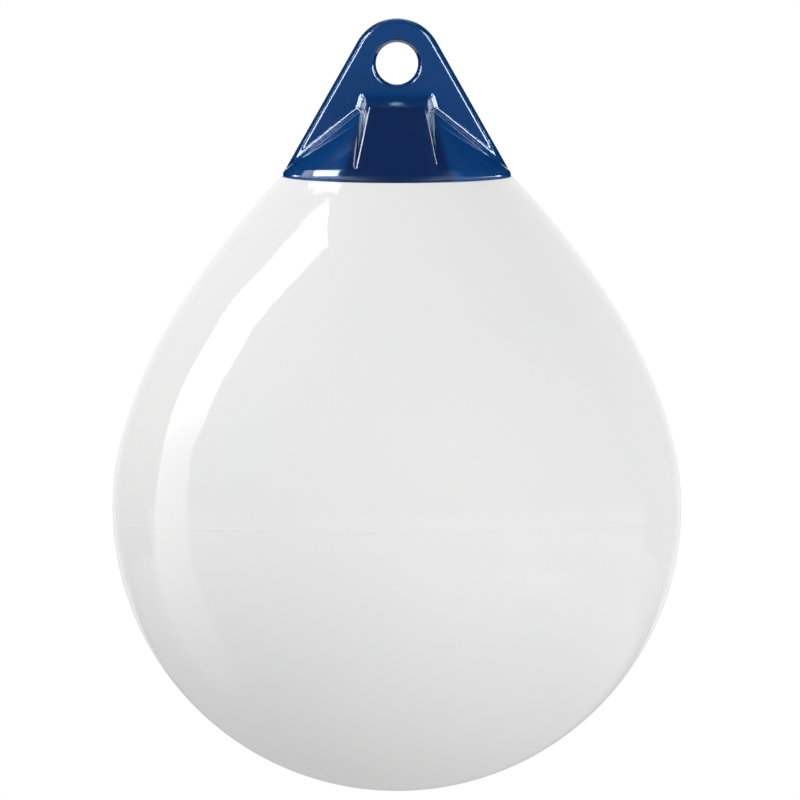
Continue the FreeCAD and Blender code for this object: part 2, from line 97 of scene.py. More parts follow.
# Cap: how far the front edge of the bosses' top shelves drops, and where the drop starts
# and is full: out from the tab, up towards the shelf and in from the boss's sides
SHELF_DROP = 1.6
DROP_ALONG = (11.5, 34)
DROP_HEIGHT = (-32, -19)
DROP_ACROSS = (20.5, 18)

# Air valve in the back half of the cap, which is set back by HALF_SHIFT
VALVE_DEPTH = 38
VALVE_SINK = 1.3
VALVE_LENGTH = 18.5
HALF_SHIFT = 1.43
SLEEVE_RADIUS = 8.5

# Edges that are sharper than this, in degrees, shade as edges
BALL_SHARP_ANGLE = 50
CAP_SHARP_ANGLE = 24


def sin(angle):
    return math.sin(math.radians(angle))


def cos(angle):
    return math.cos(math.radians(angle))


def tan(angle):
    return math.tan(math.radians(angle))


# Helpers for node trees

def add_node(tree, kind, values=None, **settings):
    """A node with its settings, and its inputs set from values or linked from sockets."""
    node = tree.nodes.new(kind)
    for name, value in settings.items():
        setattr(node, name, value)
    for name, value in (values or {}).items():
        if isinstance(value, bpy.types.NodeSocket):
            tree.links.new(value, node.inputs[name])
        else:
            node.inputs[name].default_value = value
    return node


def calculate(tree, operation, *operands):
    """A Math node's result. Operands are sockets or numbers."""
    return add_node(tree, "ShaderNodeMath", dict(enumerate(operands)), operation=operation).outputs[0]


def new_tree(name, kind, inputs, outputs):
    """A node group with named sockets. inputs holds (name, socket type, default value)."""
    tree = bpy.data.node_groups.new(name, kind)
    for label, socket, value in inputs:
        made = tree.interface.new_socket(label, in_out="INPUT", socket_type=socket)
        if value is not None:
            made.default_value = value
    for label, socket in outputs:
        tree.interface.new_socket(label, in_out="OUTPUT", socket_type=socket)
    return tree, tree.nodes.new("NodeGroupInput"), tree.nodes.new("NodeGroupOutput")


def grow(seed_object, tree, values):
    """The plain mesh that a Geometry Nodes tree makes from an object, with these inputs."""
    modifier = seed_object.modifiers.new(tree.name, "NODES")
    modifier.node_group = tree
    sockets = {s.name: s.identifier for s in tree.interface.items_tree if s.in_out == "INPUT"}
    for name, value in values.items():
        modifier[sockets[name]] = value
    return settled(seed_object)


def settled(seed_object):
    """The evaluated object's mesh as a plain mesh. The object and its modifiers go away."""
    graph = bpy.context.evaluated_depsgraph_get()
    graph.update()
    mesh = bpy.data.meshes.new_from_object(seed_object.evaluated_get(graph), depsgraph=graph)
    seed_object.modifiers.clear()
    bpy.data.objects.remove(seed_object)
    return mesh


def link_object(name, data):
    made = bpy.data.objects.new(name, data)
    bpy.context.scene.collection.objects.link(made)
    return made


# Shader groups

def make_colour_drift():
    """Slow, faint change of colour, as a moulded skin has where it is thicker or thinner."""
    tree, given, result = new_tree("colour_drift", "ShaderNodeTree", [
        ("Colour", "NodeSocketColor", (1, 1, 1, 1)),
        ("Drifted Colour", "NodeSocketColor", (1, 1, 1, 1)),
        ("Patch Size", "NodeSocketFloat", 0.05),
        ("Fleck Size", "NodeSocketFloat", 0.002),
        ("Fleck Share", "NodeSocketFloat", 0.2),
    ], [("Colour", "NodeSocketColor")])
    place = add_node(tree, "ShaderNodeTexCoord").outputs["Object"]
    parts = []
    for size, detail in (("Patch Size", 3), ("Fleck Size", 1)):
        per_metre = calculate(tree, "DIVIDE", 1.0, given.outputs[size])
        parts.append(add_node(tree, "ShaderNodeTexNoise", {
            "Vector": place, "Scale": per_metre, "Detail": detail, "Roughness": 0.5,
        }).outputs["Fac"])
    share = add_node(tree, "ShaderNodeMix", {
        "Factor": given.outputs["Fleck Share"], "A": parts[0], "B": parts[1],
    }).outputs[0]
    spread = add_node(tree, "ShaderNodeMapRange", {
        "Value": share, "From Min": 0.35, "From Max": 0.65,
    }, interpolation_type="SMOOTHSTEP").outputs[0]
    mixed = tree.nodes.new("ShaderNodeMix")
    mixed.data_type = "RGBA"
    tree.links.new(spread, mixed.inputs[0])
    tree.links.new(given.outputs["Colour"], mixed.inputs[6])
    tree.links.new(given.outputs["Drifted Colour"], mixed.inputs[7])
    tree.links.new(mixed.outputs[2], result.inputs["Colour"])
    return tree


def make_moulded_skin():
    """Height of a moulded skin: slow waves, and the fine grain of the mould's wall."""
    tree, given, result = new_tree("moulded_skin", "ShaderNodeTree", [
        ("Wave Size", "NodeSocketFloat", 0.01),
        ("Wave Height", "NodeSocketFloat", 0.6),
        ("Grain Size", "NodeSocketFloat", 0.0006),
        ("Grain Height", "NodeSocketFloat", 0.1),
    ], [("Height", "NodeSocketFloat")])
    place = add_node(tree, "ShaderNodeTexCoord").outputs["Object"]
    heights = []
    for size, height, detail in (("Wave Size", "Wave Height", 1), ("Grain Size", "Grain Height", 2)):
        per_metre = calculate(tree, "DIVIDE", 1.0, given.outputs[size])
        noise = add_node(tree, "ShaderNodeTexNoise", {
            "Vector": place, "Scale": per_metre, "Detail": detail,
        }).outputs["Fac"]
        heights.append(calculate(tree, "MULTIPLY", noise, given.outputs[height]))
    tree.links.new(calculate(tree, "ADD", *heights), result.inputs["Height"])
    return tree


def make_handling_marks():
    """Roughness of a glossy skin, with faint rubbed patches and fine dull specks."""
    tree, given, result = new_tree("handling_marks", "ShaderNodeTree", [
        ("Clean Roughness", "NodeSocketFloat", 0.1),
        ("Rubbed Roughness", "NodeSocketFloat", 0.2),
        ("Patch Size", "NodeSocketFloat", 0.03),
        ("Speck Size", "NodeSocketFloat", 0.003),
    ], [("Roughness", "NodeSocketFloat")])
    place = add_node(tree, "ShaderNodeTexCoord").outputs["Object"]
    patch = add_node(tree, "ShaderNodeTexNoise", {
        "Vector": place, "Scale": calculate(tree, "DIVIDE", 1.0, given.outputs["Patch Size"]),
        "Detail": 4, "Roughness": 0.6,
    }).outputs["Fac"]
    speck = add_node(tree, "ShaderNodeTexVoronoi", {
        "Vector": place, "Scale": calculate(tree, "DIVIDE", 1.0, given.outputs["Speck Size"]),
    }).outputs["Distance"]
    rubbed = add_node(tree, "ShaderNodeMapRange", {
        "Value": patch, "From Min": 0.45, "From Max": 0.75,
    }, interpolation_type="SMOOTHSTEP").outputs[0]
    dull = add_node(tree, "ShaderNodeMapRange", {
        "Value": speck, "From Min": 0.12, "From Max": 0.04,
    }).outputs[0]
    worn = calculate(tree, "MAXIMUM", rubbed, calculate(tree, "MULTIPLY", dull, 0.5))
    roughness = add_node(tree, "ShaderNodeMapRange", {
        "Value": worn, "To Min": given.outputs["Clean Roughness"],
        "To Max": given.outputs["Rubbed Roughness"],
    }).outputs[0]
    tree.links.new(roughness, result.inputs["Roughness"])
    return tree


def make_boss_shade_mask():
    """Mask of painted shade: the bosses at the cap's front and back, whose faces get a deeper
    blue that stands for the shade they are seen in."""
    tree, given, result = new_tree("thick_moulding", "ShaderNodeTree", [
        ("Top Half Width", "NodeSocketFloat", 0.017),
        ("Top Height", "NodeSocketFloat", -0.015),
        ("Side Lean", "NodeSocketFloat", 0.28),
        ("Tab Half Thickness", "NodeSocketFloat", 0.008),
        ("Softness", "NodeSocketFloat", 0.003),
    ], [("Mask", "NodeSocketFloat")])
    ask = given.outputs
    place = add_node(tree, "ShaderNodeTexCoord").outputs["Object"]
    across, along, height = add_node(tree, "ShaderNodeSeparateXYZ", {0: place}).outputs
    below_top = calculate(tree, "SUBTRACT", ask["Top Height"], height)
    half_width = calculate(tree, "MULTIPLY_ADD", below_top, ask["Side Lean"], ask["Top Half Width"])
    inside = calculate(tree, "SUBTRACT", half_width, calculate(tree, "ABSOLUTE", across))
    from_middle = calculate(tree, "ABSOLUTE", along)
    outside_tab = calculate(tree, "SUBTRACT", from_middle, ask["Tab Half Thickness"])
    least = calculate(tree, "MINIMUM", calculate(tree, "MINIMUM", inside, below_top), outside_tab)
    painted_shade_mask = add_node(tree, "ShaderNodeMapRange", {
        "Value": least, "From Min": 0.0, "From Max": ask["Softness"],
    }, interpolation_type="SMOOTHSTEP").outputs[0]
    tree.links.new(painted_shade_mask, result.inputs["Mask"])
    return tree


COLOUR_DRIFT = make_colour_drift()
MOULDED_SKIN = make_moulded_skin()
HANDLING_MARKS = make_handling_marks()
# Mask of the painted shade on the cap's bosses
BOSS_SHADE_MASK = make_boss_shade_mask()


def place_group(tree, group, values):
    node = tree.nodes.new("ShaderNodeGroup")
    node.node_tree = group
    for name, value in values.items():
        node.inputs[name].default_value = value
    return node


def moulded_material(name, drift, skin, marks, bump_reach, shader_values):
    """A moulded plastic. Its colour, height and roughness come from three of the groups."""
    material = bpy.data.materials.new(name)
    material.use_nodes = True
    tree = material.node_tree
    shader = tree.nodes["Principled BSDF"]
    for socket, value in shader_values.items():
        shader.inputs[socket].default_value = value
    colour = place_group(tree, COLOUR_DRIFT, drift)
    height = place_group(tree, MOULDED_SKIN, skin)
    worn = place_group(tree, HANDLING_MARKS, marks)
    bump = add_node(tree, "ShaderNodeBump", {
        "Strength": 1.0, "Distance": bump_reach, "Height": height.outputs["Height"],
    })
    tree.links.new(colour.outputs["Colour"], shader.inputs["Base Color"])
    tree.links.new(worn.outputs["Roughness"], shader.inputs["Roughness"])
    tree.links.new(bump.outputs["Normal"], shader.inputs["Normal"])
    return material


white_vinyl = moulded_material(
    "white_vinyl",
    drift={"Colour": (0.86, 0.862, 0.857, 1), "Drifted Colour": (0.845, 0.85, 0.848, 1),
           "Patch Size": 0.09, "Fleck Size": 0.003, "Fleck Share": 0.25},
    skin={"Wave Size": 0.008, "Wave Height": 1.0, "Grain Size": 0.0012, "Grain Height": 0.03},
    marks={"Clean Roughness": 0.05, "Rubbed Roughness": 0.1, "Patch Size": 0.05, "Speck Size": 0.006},
    bump_reach=0.00003,
    shader_values={"IOR": 1.5, "Specular IOR Level": 0.5},
)


# Painted shade: the deeper blue that the faces of the cap's bosses are given
BOSS_SHADE_BLUE = (0.004, 0.021, 0.092, 1)


def make_blue_vinyl(name, clean_roughness, rubbed_roughness, shine):
    """The cap's vinyl, which goes over into a deeper blue on its bosses: painted shade."""
    material = moulded_material(
        name,
        drift={"Colour": (0.0035, 0.052, 0.2, 1), "Drifted Colour": (0.003, 0.047, 0.185, 1),
               "Patch Size": 0.03, "Fleck Size": 0.001, "Fleck Share": 0.3},
        skin={"Wave Size": 0.009, "Wave Height": 1.0, "Grain Size": 0.0009, "Grain Height": 0.05},
        marks={"Clean Roughness": clean_roughness, "Rubbed Roughness": rubbed_roughness,
               "Patch Size": 0.02, "Speck Size": 0.004},
        bump_reach=0.00004,
        shader_values={"IOR": 1.5, "Specular IOR Level": shine, "Specular Tint": (0.8, 0.9, 1.0, 1)},
    )
    tree = material.node_tree
    shader = tree.nodes["Principled BSDF"]
    plain = shader.inputs["Base Color"].links[0].from_socket
    # Painted shade: the bosses' faces are mixed towards the deeper blue
    painted_shade_mask = place_group(tree, BOSS_SHADE_MASK, {
        "Top Half Width": BOSS_TOP_WIDTH / 2 * MM, "Top Height": -BOSS_TOP_DEPTH * MM,
        "Side Lean": tan(BOSS_SIDE_LEAN), "Tab Half Thickness": TAB_THICKNESS / 2 * MM,
        "Softness": 0.004,
    })
    mixed = tree.nodes.new("ShaderNodeMix")
    mixed.data_type = "RGBA"
    tree.links.new(painted_shade_mask.outputs["Mask"], mixed.inputs[0])
    tree.links.new(plain, mixed.inputs[6])
    mixed.inputs[7].default_value = BOSS_SHADE_BLUE
    tree.links.new(mixed.outputs[2], shader.inputs["Base Color"])
    return material


# The cap's trimmed rim is duller than the moulded rest of it
blue_vinyl = make_blue_vinyl("blue_vinyl", clean_roughness=0.07, rubbed_roughness=0.13, shine=0.5)
rim_vinyl = make_blue_vinyl("blue_vinyl_rim", clean_roughness=0.29, rubbed_roughness=0.33, shine=0.1)

valve_plastic = moulded_material(
    "valve_plastic",
    drift={"Colour": (0.03, 0.03, 0.034, 1), "Drifted Colour": (0.036, 0.036, 0.038, 1),
           "Patch Size": 0.006, "Fleck Size": 0.0005, "Fleck Share": 0.5},
    skin={"Wave Size": 0.003, "Wave Height": 0.3, "Grain Size": 0.0002, "Grain Height": 0.5},
    marks={"Clean Roughness": 0.36, "Rubbed Roughness": 0.46, "Patch Size": 0.004, "Speck Size": 0.001},
    bump_reach=0.00002,
    shader_values={"IOR": 1.5},
)

valve_rubber = moulded_material(
    "valve_rubber",
    drift={"Colour": (0.04, 0.04, 0.04, 1), "Drifted Colour": (0.05, 0.05, 0.049, 1),
           "Patch Size": 0.004, "Fleck Size": 0.0004, "Fleck Share": 0.5},
    skin={"Wave Size": 0.002, "Wave Height": 0.3, "Grain Size": 0.00015, "Grain Height": 0.6},
    marks={"Clean Roughness": 0.7, "Rubbed Roughness": 0.85, "Patch Size": 0.003, "Speck Size": 0.001},
    bump_reach=0.00002,
    shader_values={"IOR": 1.5},
)

plug_plastic = moulded_material(
    "plug_plastic",
    drift={"Colour": (0.78, 0.78, 0.765, 1), "Drifted Colour": (0.73, 0.73, 0.715, 1),
           "Patch Size": 0.005, "Fleck Size": 0.0006, "Fleck Share": 0.4},
    skin={"Wave Size": 0.003, "Wave Height": 0.3, "Grain Size": 0.0002, "Grain Height": 0.4},
    marks={"Clean Roughness": 0.3, "Rubbed Roughness": 0.42, "Patch Size": 0.004, "Speck Size": 0.001},
    bump_reach=0.00002,
    shader_values={"IOR": 1.5},
)


# Ball

def arc_points(centre, radius, start, end, count):
    """This many points along an arc of the section, its first one left out."""
    angles = [start + (end - start) * n / count for n in range(1, count + 1)]
    return [(centre[0] + radius * cos(a), centre[1] + radius * sin(a)) for a in angles]


def line_points(start, end, count):
    return [tuple(s + (e - s) * n / count for s, e in zip(start, end)) for n in range(1, count + 1)]


def cells(radius, start, end, size):
    """How many cells of about this size an arc takes."""
    return max(1, math.ceil(abs(math.radians(end - start)) * radius / size))


def drop_arcs(inset):
    """The drop's arcs below its throat, as (centre, radius, start, end), and the throat's
    centre and radius, all set in by a wall's thickness or by 0."""
    bilge_radius, bilge_angle = BILGE
    middle = -EQUATOR_DEPTH
    bilge_centre = (EQUATOR_RADIUS - bilge_radius, middle)
    foot_radius = bilge_radius + bilge_centre[0] / cos(bilge_angle)
    foot_centre = (0, middle + bilge_centre[0] * tan(bilge_angle))
    arcs = [
        (foot_centre, foot_radius - inset, -90, -bilge_angle),
        (bilge_centre, bilge_radius - inset, -bilge_angle, 0),
    ]
    radius, turned = EQUATOR_RADIUS, 0
    centre = (0, middle)
    for following, end in (SHOULDER, FLANK, (THROAT_RADIUS, None)):
        centre = (centre[0] + (radius - following) * cos(turned),
                  centre[1] + (radius - following) * sin(turned))
        if end is None:
            return arcs, centre, following - inset
        arcs.append((centre, following - inset, turned, end))
        radius, turned = following, end


def neck_points(inset, start_radius, cone_count, dome_count):
    """Points up the neck's cone from a radius, and over its dome to the axis."""
    foot_depth = NECK_FOOT_DEPTH + inset / cos(NECK_SLOPE)
    dome = NECK_DOME_RADIUS - inset

    def on_cone(radius):
        return radius, (NECK_FOOT_RADIUS - radius) * tan(NECK_SLOPE) - foot_depth

    start = on_cone(start_radius)
    touch = on_cone(dome * sin(NECK_SLOPE))
    centre = (0, touch[1] - dome * cos(NECK_SLOPE))
    points = [start] + line_points(start, touch, cone_count)
    return points + arc_points(centre, dome, 90 - NECK_SLOPE, 90, dome_count)


def outer_section(rim_radius):
    """The outer wall's section from its foot to the top of its neck, with the seat of the
    cap's rim at one radius. Its upper edge, beside the rim, is a little rounded."""
    arcs, throat_centre, throat_radius = drop_arcs(0)
    points = [(0.0, arcs[0][0][1] - arcs[0][1])]
    for centre, radius, start, end in arcs:
        stretches = [(start, end, OUTER_CELL)]
        if start < 0 and end == 0:
            low, high = [math.degrees(math.asin((z - centre[1]) / radius))
                         for z in (-SEAM_DEPTH - SEAM_ZONE, -SEAM_DEPTH + SEAM_ZONE)]
            stretches = [(start, low, OUTER_CELL), (low, high, SEAM_CELL), (high, end, OUTER_CELL)]
        for begin, finish, size in stretches:
            points += arc_points(centre, radius, begin, finish, cells(radius, begin, finish, size))
    inner = rim_radius + LIP_ROUND
    lip_angle = math.degrees(math.acos((inner - throat_centre[0]) / (throat_radius - LIP_ROUND)))
    lip_centre = (inner, throat_centre[1] + (throat_radius - LIP_ROUND) * sin(lip_angle))
    points += throat_points(throat_centre, throat_radius, FLANK[1], lip_angle)
    points += arc_points(lip_centre, LIP_ROUND, lip_angle, 180, OUTER_COUNTS["lip"])
    neck = neck_points(0, rim_radius, OUTER_COUNTS["cone"], OUTER_COUNTS["dome"])
    return points + line_points(points[-1], neck[0], OUTER_COUNTS["seat"]) + neck[1:]


def throat_points(centre, radius, start, end):
    """The throat's points: a set number, so that every section has as many, and closer
    together towards the rim."""
    count = OUTER_COUNTS["throat"]
    crowding = 1.25
    shares = [1 - (1 - n / count) ** crowding for n in range(1, count + 1)]
    return [(centre[0] + radius * cos(start + (end - start) * s),
             centre[1] + radius * sin(start + (end - start) * s)) for s in shares]


def inner_section():
    """The inner wall's section, from the top of the neck down to the foot."""
    arcs, throat_centre, throat_radius = drop_arcs(WALL)
    points = [(0.0, arcs[0][0][1] - arcs[0][1])]
    for centre, radius, start, end in arcs:
        points += arc_points(centre, radius, start, end, cells(radius, start, end, INNER_CELL))
    points += arc_points(throat_centre, throat_radius, FLANK[1], INNER_THROAT_ANGLE,
                         INNER_COUNTS["throat"])
    neck = neck_points(WALL, NECK_FOOT_RADIUS, INNER_COUNTS["cone"], INNER_COUNTS["dome"])
    points += line_points(points[-1], neck[0], INNER_COUNTS["seat"]) + neck[1:]
    return points[::-1]


def section_object(name, narrow, wide, is_outer):
    """The section's points as a mesh. Each one's own position is the narrow section's, and
    attributes hold the wide section's, and whether it belongs to the outer wall."""
    mesh = bpy.data.meshes.new(name)
    mesh.from_pydata([(r * MM, 0, z * MM) for r, z in narrow], [], [])
    broad = mesh.attributes.new("wide_section", "FLOAT_VECTOR", "POINT")
    broad.data.foreach_set("vector", [size * MM for r, z in wide for size in (r, 0, z)])
    outer = mesh.attributes.new("on_outer_wall", "FLOAT", "POINT")
    outer.data.foreach_set("value", is_outer)
    return link_object(name, mesh)


def wide_share(tree, ask, along_x, along_y):
    """How far the wall has gone from the narrow to the wide section in this direction, by
    the rule of the cap rim's outline."""
    half_width, stretch = ask["Rim Half Width"], ask["Rim Stretch"]
    shift = calculate(tree, "MULTIPLY", calculate(tree, "ABSOLUTE", along_y), stretch)
    across = calculate(tree, "MULTIPLY", along_x, stretch)
    chord = calculate(tree, "SQRT", calculate(
        tree, "SUBTRACT", calculate(tree, "MULTIPLY", half_width, half_width),
        calculate(tree, "MULTIPLY", across, across)))
    rim = calculate(tree, "MAXIMUM", calculate(tree, "ADD", shift, chord), half_width)
    return calculate(tree, "DIVIDE", calculate(tree, "SUBTRACT", rim, half_width), stretch)


def skin_lift(tree, ask):
    """How far the skin stands proud at a point: the mould's uneven seam and slow waves."""
    spot = add_node(tree, "GeometryNodeInputPosition").outputs[0]
    height = add_node(tree, "ShaderNodeSeparateXYZ", {0: spot}).outputs[2]
    from_seam = calculate(tree, "ABSOLUTE", calculate(tree, "SUBTRACT", height, ask["Seam Height"]))
    bead = add_node(tree, "ShaderNodeMapRange", {
        "Value": from_seam, "From Min": ask["Seam Half Width"], "From Max": 0.0,
        "To Max": ask["Seam Proud"],
    }, interpolation_type="SMOOTHSTEP").outputs[0]
    flow = add_node(tree, "ShaderNodeTexNoise", {
        "Vector": spot, "W": ask["Seed"], "Scale": 60.0, "Detail": 2.0,
    }, noise_dimensions="4D").outputs[0]
    uneven = add_node(tree, "ShaderNodeMapRange", {
        "Value": flow, "From Min": 0.35, "From Max": 0.6, "To Min": 0.45,
    }).outputs[0]
    waves = add_node(tree, "ShaderNodeTexNoise", {
        "Vector": spot, "W": ask["Seed"], "Detail": 1.0,
        "Scale": calculate(tree, "DIVIDE", 1.0, ask["Wave Size"]),
    }, noise_dimensions="4D").outputs[0]
    swell = calculate(tree, "MULTIPLY", calculate(tree, "SUBTRACT", waves, 0.5), ask["Wave Height"])
    return calculate(tree, "ADD", swell, calculate(tree, "MULTIPLY", bead, uneven))


def make_turned_wall():
    """Tree that turns a section about the upright axis. Between the sides and the front or
    back it goes from the narrow to the wide section by the rule of the cap rim's outline,
    and the outer wall gets the mould's seam and a moulded skin's slow waves."""
    tree, given, result = new_tree("turned_wall", "GeometryNodeTree", [
        ("Section", "NodeSocketObject", None),
        ("Turns", "NodeSocketInt", 360),
        ("Rim Half Width", "NodeSocketFloat", 0.05),
        ("Rim Stretch", "NodeSocketFloat", 0.003),
        ("Seam Height", "NodeSocketFloat", 0.0),
        ("Seam Half Width", "NodeSocketFloat", 0.0008),
        ("Seam Proud", "NodeSocketFloat", 0.0003),
        ("Wave Size", "NodeSocketFloat", 0.02),
        ("Wave Height", "NodeSocketFloat", 0.0001),
        ("Seed", "NodeSocketFloat", 0.0),
        ("Material", "NodeSocketMaterial", None),
    ], [("Wall", "NodeSocketGeometry")])
    ask = given.outputs

    # A grid whose rows are the section's stations and whose columns are turns
    section = add_node(tree, "GeometryNodeObjectInfo", {"Object": ask["Section"]}).outputs["Geometry"]
    stations = add_node(tree, "GeometryNodeAttributeDomainSize", {
        "Geometry": section,
    }).outputs["Point Count"]
    grid = add_node(tree, "GeometryNodeMeshGrid", {
        "Size X": 1.0, "Size Y": 1.0, "Vertices X": ask["Turns"], "Vertices Y": stations,
    })
    place = add_node(tree, "GeometryNodeInputPosition").outputs[0]
    column, row, _ = add_node(tree, "ShaderNodeSeparateXYZ", {0: place}).outputs
    angle = calculate(tree, "MULTIPLY", calculate(tree, "ADD", column, 0.5), 2 * math.pi)
    last = calculate(tree, "SUBTRACT", stations, 1.0)
    height_share = calculate(tree, "ADD", row, 0.5)
    station = calculate(tree, "ROUND", calculate(tree, "MULTIPLY", height_share, last))

    def sampled(value, kind):
        node = tree.nodes.new("GeometryNodeSampleIndex")
        node.data_type = kind
        for name, source in (("Geometry", section), ("Value", value), ("Index", station)):
            tree.links.new(source, node.inputs[name])
        return node.outputs["Value"]

    def stored(name, kind):
        return add_node(tree, "GeometryNodeInputNamedAttribute", {"Name": name},
                        data_type=kind).outputs["Attribute"]

    # Each point goes to its station of the section, turned by its angle
    along_x = calculate(tree, "COSINE", angle)
    along_y = calculate(tree, "SINE", angle)
    point = tree.nodes.new("ShaderNodeMix")
    point.data_type = "VECTOR"
    for socket, source in ((0, wide_share(tree, ask, along_x, along_y)),
                           (4, sampled(place, "FLOAT_VECTOR")),
                           (5, sampled(stored("wide_section", "FLOAT_VECTOR"), "FLOAT_VECTOR"))):
        tree.links.new(source, point.inputs[socket])
    flat = add_node(tree, "ShaderNodeSeparateXYZ", {0: point.outputs[1]})
    turned = add_node(tree, "ShaderNodeCombineXYZ", {
        0: calculate(tree, "MULTIPLY", flat.outputs[0], along_x),
        1: calculate(tree, "MULTIPLY", flat.outputs[0], along_y),
        2: flat.outputs[2],
    }).outputs[0]
    kept = add_node(tree, "GeometryNodeStoreNamedAttribute", {
        "Geometry": grid.outputs["Mesh"], "Name": "on_outer_wall",
        "Value": sampled(stored("on_outer_wall", "FLOAT"), "FLOAT"),
    }, data_type="FLOAT").outputs[0]
    wall = add_node(tree, "GeometryNodeSetPosition", {"Geometry": kept, "Position": turned}).outputs[0]

    # The faces between the outer and the inner wall's ends go, and the poles close
    on_wall = stored("on_outer_wall", "FLOAT")
    between = add_node(tree, "FunctionNodeCompare", {"A": on_wall, "B": 0.5, "Epsilon": 0.1},
                       data_type="FLOAT", operation="EQUAL").outputs[0]
    parted = add_node(tree, "GeometryNodeDeleteGeometry", {"Geometry": wall, "Selection": between},
                      domain="FACE").outputs[0]
    closed = add_node(tree, "GeometryNodeMergeByDistance", {
        "Geometry": parted, "Distance": 1e-6,
    }).outputs[0]

    lift = calculate(tree, "MULTIPLY", skin_lift(tree, ask), on_wall)
    normal = add_node(tree, "GeometryNodeInputNormal").outputs[0]
    offset = add_node(tree, "ShaderNodeVectorMath", {0: normal, "Scale": lift}, operation="SCALE").outputs[0]
    waved = add_node(tree, "GeometryNodeSetPosition", {"Geometry": closed, "Offset": offset}).outputs[0]
    real = add_node(tree, "GeometryNodeRealizeInstances", {"Geometry": waved}).outputs[0]
    dressed = add_node(tree, "GeometryNodeSetMaterial", {
        "Geometry": real, "Material": ask["Material"],
    }).outputs[0]
    tree.links.new(dressed, result.inputs["Wall"])
    return tree


def valve_drill():
    """A rod along the valve's axis, as wide as its sleeve, that reaches through the neck."""
    outwards = Vector((0, sin(SIDE_SLOPE), cos(SIDE_SLOPE)))
    cone = (TAB_RADIUS + BAND_PROUD + VALVE_DEPTH * cos(SIDE_SLOPE)) / sin(SIDE_SLOPE)
    mouth = Vector((0, cone + HALF_SHIFT, -VALVE_DEPTH)) - outwards * VALVE_SINK
    reach = VALVE_LENGTH * 1.5
    form = bmesh.new()
    bmesh.ops.create_cone(form, cap_ends=True, segments=64, radius1=SLEEVE_RADIUS * MM,
                          radius2=SLEEVE_RADIUS * MM, depth=reach * 2 * MM)
    turn = Vector((0, 0, 1)).rotation_difference(outwards).to_matrix().to_4x4()
    form.transform(Matrix.Translation(mouth * MM) @ turn)
    mesh = bpy.data.meshes.new("valve_drill")
    form.to_mesh(mesh)
    form.free()
    return link_object("valve_drill", mesh)


def make_ball():
    narrow = outer_section(RIM_HALF_WIDTH)
    wide = outer_section(RIM_HALF_WIDTH + RIM_STRETCH)
    inside = inner_section()
    section = section_object("ball_section", narrow + inside, wide + inside,
                             [1.0] * len(narrow) + [0.0] * len(inside))
    blank = link_object("ball_blank", bpy.data.meshes.new("ball_blank"))
    mesh = grow(blank, make_turned_wall(), {
        "Section": section,
        "Turns": TURNS,
        "Rim Half Width": RIM_HALF_WIDTH * MM,
        "Rim Stretch": RIM_STRETCH * MM,
        "Seam Height": -SEAM_DEPTH * MM,
        "Seam Half Width": SEAM_HALF_WIDTH * MM,
        "Seam Proud": SEAM_PROUD * MM,
        "Wave Size": SKIN_WAVE_SIZE * MM,
        "Wave Height": SKIN_WAVE_HEIGHT * MM,
        "Seed": 3.0,
        "Material": white_vinyl,
    })
    bpy.data.objects.remove(section)
    whole = link_object("ball_whole", mesh)
    drill = valve_drill()
    cut = whole.modifiers.new("valve_hole", "BOOLEAN")
    cut.object = drill
    cut.operation = "DIFFERENCE"
    cut.solver = "EXACT"
    mesh = settled(whole)
    bpy.data.objects.remove(drill)
    mesh.name = "vinyl_ball"
    mesh.shade_smooth()
    mesh.set_sharp_from_angle(angle=math.radians(BALL_SHARP_ANGLE))
    ball = link_object("vinyl_ball", mesh)
    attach(ball, "root")
    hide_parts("ball")
    return ball


# Cap

def merged_cap():
    """The CAD cap's mesh with its loose triangles merged and cut where the trimmed rim
    starts, its round edges smooth and its flat faces flat."""
    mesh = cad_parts["rope_cap"].data.copy()
    mesh.name = "moulded_cap"
    form = bmesh.new()
    form.from_mesh(mesh)
    bmesh.ops.remove_doubles(form, verts=form.verts, dist=1e-6)
    bmesh.ops.dissolve_degenerate(form, edges=form.edges, dist=1e-7)
    # The merging leaves a few slivers folded onto their neighbours, with an edge of their own
    folded = [face for face in form.faces if any(edge.is_boundary for edge in face.edges)]
    bmesh.ops.delete(form, geom=folded, context="FACES")
    bmesh.ops.bisect_plane(form, geom=form.verts[:] + form.edges[:] + form.faces[:],
                           plane_co=(0, 0, -TRIM_DEPTH * MM), plane_no=(0, 0, 1))
    form.to_mesh(mesh)
    form.free()
    if mesh.attributes.get("custom_normal"):
        mesh.attributes.remove(mesh.attributes["custom_normal"])
    mesh.materials.clear()
    for finish in (blue_vinyl, rim_vinyl):
        mesh.materials.append(finish)
    mesh.shade_smooth()
    mesh.set_sharp_from_angle(angle=math.radians(CAP_SHARP_ANGLE))
    blank = link_object("moulded_cap_blank", mesh)
    level = blank.modifiers.new("flat_faces", "WEIGHTED_NORMAL")
    level.mode = "FACE_AREA"
    level.weight = 80
    level.keep_sharp = True
    return settled(blank)


def share_between(value, none, full):
    """How far a value has come from where there is none of an effect to where it is full."""
    return min(max((value - none) / (full - none), 0), 1)


def slope_shelves(mesh):
    """Let the top shelf of each boss fall a little more to its front. Its front edge slides
    down the boss's face, so that the face and the sides keep their planes."""
    for vertex in mesh.vertices:
        across, along, height = vertex.co / MM
        share = (share_between(abs(along), *DROP_ALONG) * share_between(height, *DROP_HEIGHT)
                 * share_between(abs(across), *DROP_ACROSS))
        drop = SHELF_DROP * MM * share
        outward = Vector((across, along)).normalized() * drop * tan(90 - SIDE_SLOPE)
        vertex.co += Vector((outward.x, outward.y, -drop))


def make_cap():
    mesh = merged_cap()
    slope_shelves(mesh)
    for face in mesh.polygons:
        face.material_index = int(face.center.z < -TRIM_DEPTH * MM)
    cap = link_object("moulded_cap", mesh)
    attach(cap, "root")
    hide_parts("rope_cap")
    return cap


# Valve

def dress_node(node, material):
    """Give a CAD node's own material slots the finish."""
    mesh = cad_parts[node].data
    mesh.materials.clear()
    mesh.materials.append(material)


